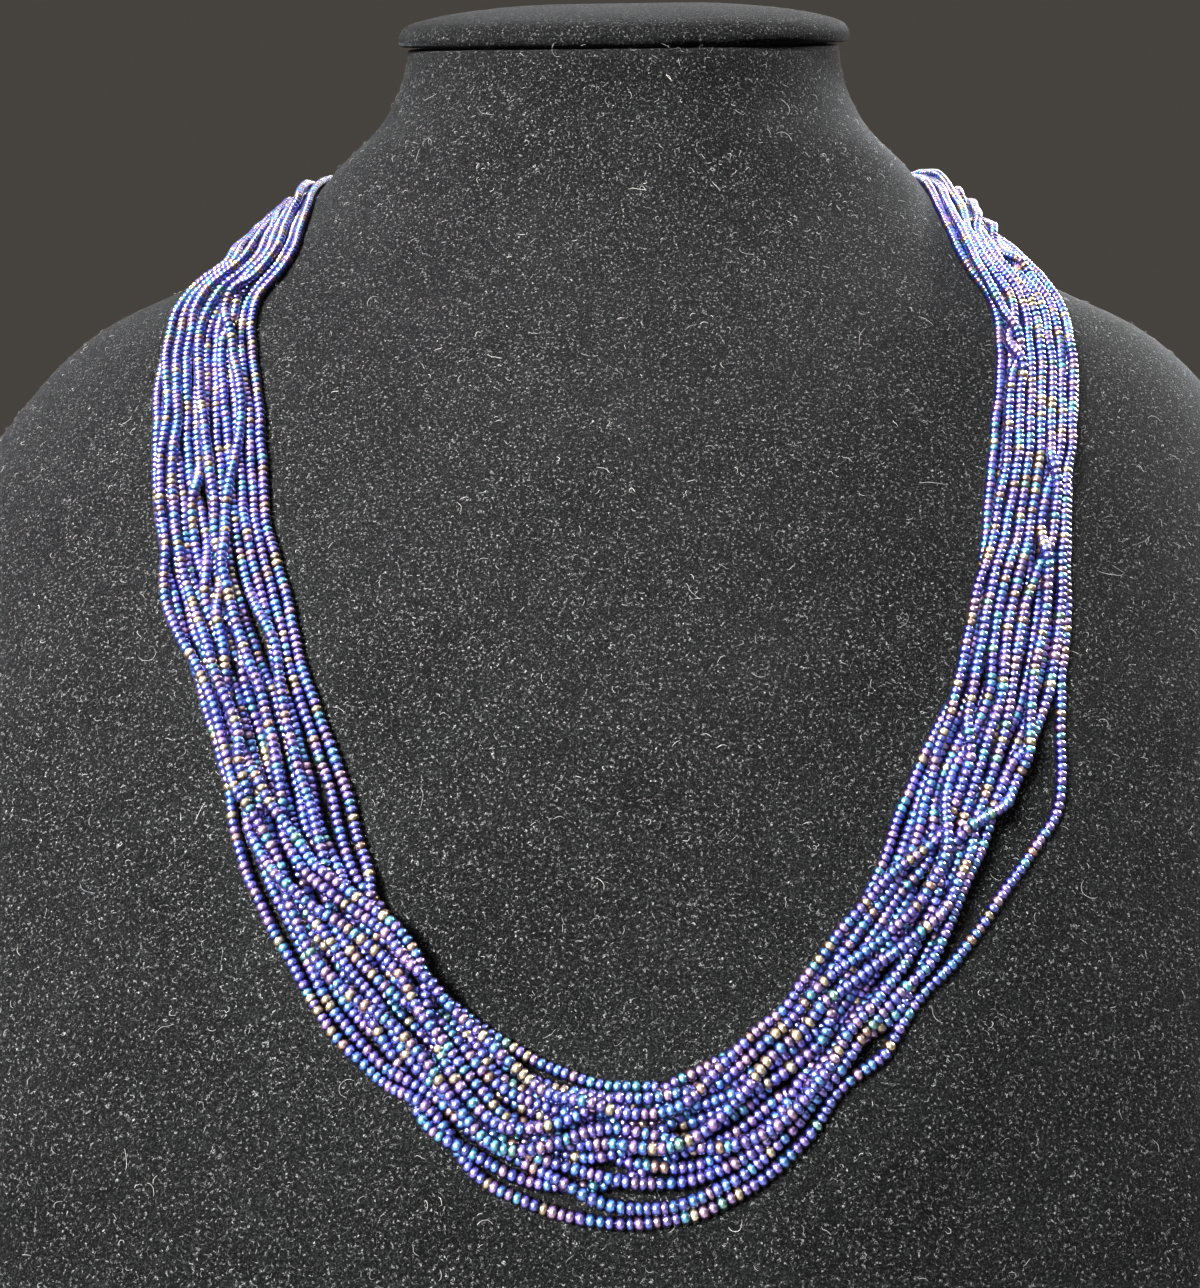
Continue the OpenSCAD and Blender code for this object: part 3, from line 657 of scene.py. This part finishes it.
def fleck_group():
    """Short curled flecks of a given size, as a mask."""
    group = bpy.data.node_groups.new("Fibre flecks", "ShaderNodeTree")
    group.interface.new_socket(name="Vector", in_out="INPUT", socket_type="NodeSocketVector")
    for name in ("Flecks per metre", "Cover"):
        group.interface.new_socket(name=name, in_out="INPUT", socket_type="NodeSocketFloat")
    group.interface.new_socket(name="Mask", in_out="OUTPUT", socket_type="NodeSocketFloat")
    source, sink = group.nodes.new("NodeGroupInput"), group.nodes.new("NodeGroupOutput")
    noise = add_node(group, "ShaderNodeTexNoise", {
        "Vector": source.outputs["Vector"], "Scale": source.outputs["Flecks per metre"],
        "Detail": 1.0, "Roughness": 0.5, "Distortion": 1.6})
    cells = add_node(group, "ShaderNodeTexNoise", {
        "Vector": source.outputs["Vector"], "Scale": source.outputs["Flecks per metre"],
        "Detail": 0.0, "Distortion": 0.4})
    ridge = add_node(group, "ShaderNodeMath", {0: noise.outputs["Fac"], 1: 0.5}, operation="SUBTRACT")
    narrow = add_node(group, "ShaderNodeMath", {0: ridge.outputs[0]}, operation="ABSOLUTE")
    line = add_node(group, "ShaderNodeMapRange", {
        "Value": narrow.outputs[0], "From Min": 0.0, "From Max": 0.04, "To Min": 1.0, "To Max": 0.0})
    low = add_node(group, "ShaderNodeMath", {0: 0.72, 1: source.outputs["Cover"]}, operation="SUBTRACT")
    high = add_node(group, "ShaderNodeMath", {0: low.outputs[0], 1: 0.08}, operation="ADD")
    patch = add_node(group, "ShaderNodeMapRange", {
        "Value": cells.outputs["Fac"], "From Min": low.outputs[0], "From Max": high.outputs[0]})
    both = add_node(group, "ShaderNodeMath", {0: line.outputs[0], 1: patch.outputs[0]},
                    operation="MULTIPLY")
    group.links.new(both.outputs[0], sink.inputs["Mask"])
    return group


def velvet_finish(flecks):
    """Black velvet: a dark cloudy pile with fine and coarse pale flecks and a faint sheen."""
    material, tree, surface = shader("black velvet")
    place = add_node(tree, "ShaderNodeTexCoord").outputs["Object"]
    fine = add_node(tree, "ShaderNodeGroup", node_tree=flecks)
    coarse = add_node(tree, "ShaderNodeGroup", node_tree=flecks)
    for node, per_metre, cover in ((fine, 2900, 0.17), (coarse, 1600, 0.115)):
        tree.links.new(place, node.inputs["Vector"])
        node.inputs["Flecks per metre"].default_value = per_metre
        node.inputs["Cover"].default_value = cover
    pile = add_node(tree, "ShaderNodeTexNoise", {
        "Vector": place, "Scale": 2600.0, "Detail": 2.0, "Roughness": 0.7})
    nap = add_node(tree, "ShaderNodeTexNoise", {
        "Vector": place, "Scale": 26.0, "Detail": 3.0, "Roughness": 0.6})
    dark = ramp(tree, pile.outputs["Fac"], [(0.36, grey(0.0007)), (0.58, grey(0.0025)), (0.74, grey(0.010))])
    tone = ramp(tree, nap.outputs["Fac"], [(0.3, grey(0.72)), (0.7, grey(1.3))])
    base = mixed(tree, "MULTIPLY", 1.0, dark, tone)
    with_fine = mixed(tree, "MIX", fine.outputs["Mask"], base, (0.034, 0.0343, 0.0343))
    with_coarse = mixed(tree, "MIX", coarse.outputs["Mask"], with_fine, (0.137, 0.137, 0.134))
    tree.links.new(with_coarse, surface.inputs["Base Color"])
    bump = add_node(tree, "ShaderNodeBump", {
        "Strength": 0.9, "Distance": 0.25 * MM, "Height": pile.outputs["Fac"]})
    tree.links.new(bump.outputs["Normal"], surface.inputs["Normal"])
    surface.inputs["Roughness"].default_value = 1.0
    surface.inputs["Specular IOR Level"].default_value = 0.035
    surface.inputs["Sheen Weight"].default_value = 0.042
    surface.inputs["Sheen Roughness"].default_value = 0.25
    surface.inputs["Sheen Tint"].default_value = (0.85, 0.88, 0.92, 1)
    return material


# How much rounder along its string a bead is shaded than its barrel is
BEAD_ROUNDING = 0.3
# Place on the scale of tints, colour of the beads' lustre and colour of the glass beside it
# The lustre is painted as a highlight where a bead faces away from the bust, and the glass colour as painted
# shade at its sides.
BEAD_TINTS = [
    (0.00, (0.19, 0.22, 0.69), (0.023, 0.026, 0.18)),
    (0.28, (0.14, 0.32, 0.68), (0.022, 0.049, 0.21)),
    (0.46, (0.29, 0.22, 0.63), (0.04, 0.023, 0.16)),
    (0.66, (0.42, 0.27, 0.53), (0.073, 0.032, 0.13)),
    (0.78, (0.16, 0.47, 0.61), (0.02, 0.082, 0.18)),
    (0.84, (0.52, 0.35, 0.48), (0.11, 0.042, 0.1)),
    (0.89, (0.57, 0.46, 0.29), (0.11, 0.061, 0.031)),
    (0.94, (0.47, 0.3, 0.24), (0.1, 0.042, 0.032)),
    (0.97, (0.73, 0.67, 0.47), (0.16, 0.1, 0.05)),
    (0.988, (0.24, 0.44, 0.38), (0.023, 0.084, 0.077)),
]


def bead_finish():
    """Glass beads with a metallic lustre: painted pale away from the bust as a highlight, deep beside it as
    shade.

    A rounded normal, worked out from the bead's middle, gives each bead a round highlight.
    Towards its two ends, in the creases between beads, a bead is darkened with painted shade.
    """
    material, tree, surface = shader("iris beads")
    tint, shade, crown = (
        add_node(tree, "ShaderNodeAttribute", attribute_name=name).outputs["Fac"]
        for name in ("tint", "shade", "crown"))
    middle, along, outward_way = (
        add_node(tree, "ShaderNodeAttribute", attribute_name=name).outputs["Vector"]
        for name in ("middle", "along", "outward"))
    place = add_node(tree, "ShaderNodeTexCoord").outputs["Object"]
    spoke = add_node(tree, "ShaderNodeVectorMath", {0: place, 1: middle}, operation="SUBTRACT")
    reach = add_node(tree, "ShaderNodeVectorMath", {0: spoke.outputs[0], 1: along},
                     operation="DOT_PRODUCT")
    extra = add_node(tree, "ShaderNodeMath", {0: reach.outputs["Value"], 1: BEAD_ROUNDING},
                     operation="MULTIPLY")
    ends = add_node(tree, "ShaderNodeVectorMath", {0: along, "Scale": extra.outputs[0]},
                    operation="SCALE")
    bulge = add_node(tree, "ShaderNodeVectorMath", {0: spoke.outputs[0], 1: ends.outputs[0]},
                     operation="ADD")
    rounded = add_node(tree, "ShaderNodeVectorMath", {0: bulge.outputs[0]},
                       operation="NORMALIZE").outputs[0]
    top = add_node(tree, "ShaderNodeVectorMath", {0: rounded, 1: outward_way},
                   operation="DOT_PRODUCT")
    tree.links.new(rounded, surface.inputs["Normal"])
    pale = ramp(tree, tint, [(place, lustre) for place, lustre, _ in BEAD_TINTS], "CONSTANT")
    deep = ramp(tree, tint, [(place, glass) for place, _, glass in BEAD_TINTS], "CONSTANT")
    # Painted highlight and shade: this mask paints each bead in its pale lustre on the side facing away from
    # the bust and in its deep glass colour at its sides.
    painted_highlight_mask = ramp(tree, top.outputs["Value"], [(0.58, grey(0)), (0.97, grey(1))])
    light = ramp(tree, shade, [(0.0, grey(0.65)), (1.0, grey(1.15))])
    colour = mixed(tree, "MIX", painted_highlight_mask, deep, pale)
    colour = mixed(tree, "MULTIPLY", 1.0, colour, light)
    # Painted shade: towards its two ends, in the creases between beads, each bead is painted a dark navy,
    # and its coat fades there too.
    rim = ramp(tree, crown, [(0.45, grey(0)), (0.76, grey(1))])
    colour = mixed(tree, "MIX", rim, (0.012, 0.008, 0.05), colour)
    tree.links.new(colour, surface.inputs["Base Color"])
    tree.links.new(rim, surface.inputs["Coat Weight"])
    surface.inputs["Metallic"].default_value = 0.94
    surface.inputs["Roughness"].default_value = 0.29
    surface.inputs["Coat Roughness"].default_value = 0.15
    return material


def lint_finish():
    material, tree, surface = shader("pale lint")
    place = add_node(tree, "ShaderNodeTexCoord").outputs["Object"]
    noise = add_node(tree, "ShaderNodeTexNoise", {"Vector": place, "Scale": 60.0, "Detail": 1.0})
    colour = ramp(tree, noise.outputs["Fac"], [
        (0.3, (0.062, 0.064, 0.066)), (0.55, (0.132, 0.132, 0.129)), (0.75, (0.25, 0.243, 0.22))])
    tree.links.new(colour, surface.inputs["Base Color"])
    surface.inputs["Roughness"].default_value = 0.9
    return material


def metal_finish():
    material, tree, surface = shader("satin metal")
    place = add_node(tree, "ShaderNodeTexCoord").outputs["Object"]
    stretched = add_node(tree, "ShaderNodeMapping", {"Vector": place, "Scale": (1, 8, 8)})
    grain = add_node(tree, "ShaderNodeTexNoise", {
        "Vector": stretched.outputs["Vector"], "Scale": 900.0, "Detail": 3.0})
    colour = ramp(tree, grain.outputs["Fac"], [(0.3, grey(0.30)), (0.7, grey(0.46))])
    rough = ramp(tree, grain.outputs["Fac"], [(0.3, grey(0.22)), (0.7, grey(0.38))])
    tree.links.new(colour, surface.inputs["Base Color"])
    tree.links.new(rough, surface.inputs["Roughness"])
    surface.inputs["Metallic"].default_value = 1.0
    return material


def floor_finish():
    material, tree, surface = shader("pale floor")
    place = add_node(tree, "ShaderNodeTexCoord").outputs["Object"]
    cloud = add_node(tree, "ShaderNodeTexNoise", {"Vector": place, "Scale": 3.0, "Detail": 4.0})
    colour = ramp(tree, cloud.outputs["Fac"], [(0.3, grey(0.19)), (0.7, grey(0.22))])
    tree.links.new(colour, surface.inputs["Base Color"])
    surface.inputs["Roughness"].default_value = 0.7
    return material


# Studio


# Soft lights: name, place, aim, width, height, watts, colour and spread in degrees. Most of
# the light comes from the upper left and falls on the left band of strands.
CHEST = (0, 0, 0.17)
COOL = (0.97, 0.98, 1.0)
LIGHTS = [
    ("key", (-0.66, -0.84, 0.80), (-0.16, -0.02, 0.21), 0.8, 0.7, 9.5, COOL, 26),
    ("left", (-0.46, -0.50, 0.56), (-0.125, -0.05, 0.20), 0.3, 0.3, 2.6, (0.98, 0.99, 1.0), 20),
    ("front", (-0.12, -1.10, 0.26), (-0.01, 0, 0.15), 1.3, 0.8, 0.4, COOL, 36),
    ("top", (0.10, 0.10, 1.22), CHEST, 2.0, 1.3, 14, (0.98, 0.99, 1.0), 180),
    ("right", (0.80, 0.40, 0.62), (0.18, 0.01, 0.20), 0.4, 0.3, 2.6, (1.0, 0.99, 0.97), 24),
    ("behind", (0.1, 1.0, 0.75), CHEST, 0.9, 0.5, 13, (1, 1, 1), 180),
]
WALL_TONE = (0.062, 0.055, 0.048)


def soft_light(name, place, aim, width, height, power, colour, spread):
    data = bpy.data.lights.new(name, "AREA")
    data.shape = "RECTANGLE"
    data.size, data.size_y = width, height
    data.energy = power
    data.spread = math.radians(spread)
    data.color = colour
    light = bpy.data.objects.new(name, data)
    light.location = place
    light.rotation_euler = (Vector(aim) - Vector(place)).to_track_quat("-Z", "Y").to_euler()
    bpy.context.scene.collection.objects.link(light)


def studio():
    bm = bmesh.new()
    bmesh.ops.create_grid(bm, x_segments=8, y_segments=8, size=3.0)
    floor = add_object("floor", mesh_of("floor", bm), material=floor_finish())
    for light in LIGHTS:
        soft_light(*light)
    bpy.context.scene.view_settings.view_transform = "Standard"
    world = bpy.data.worlds.new("studio")
    bpy.context.scene.world = world
    world.use_nodes = True
    world.node_tree.nodes["Background"].inputs["Color"].default_value = (*WALL_TONE, 1)


photo_camera()
velvet_cloth = velvet_finish(fleck_group())
for node, rings in (("bust", bust_rings()), ("neck_cap", cap_rings())):
    cloth = add_object(f"velvet_{node}", wrapped(f"velvet {node}", rings), "velvet", velvet_cloth)
    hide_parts(node)
beads = bead_finish()
for k, (course, out) in enumerate(zip(*lying_strands())):
    bead_string(k, course, out, beads)
pale = lint_finish()
lint("long lint", count=300, steps=9, length=(2.0 * MM, 6.0 * MM),
     thickness=(0.030 * MM, 0.045 * MM), seed=21, material=pale)
lint("short lint", count=4000, steps=4, length=(0.6 * MM, 2.2 * MM),
     thickness=(0.030 * MM, 0.050 * MM), seed=22, material=pale)
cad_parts["clasp"].data.materials.clear()
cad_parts["clasp"].data.materials.append(metal_finish())
studio()
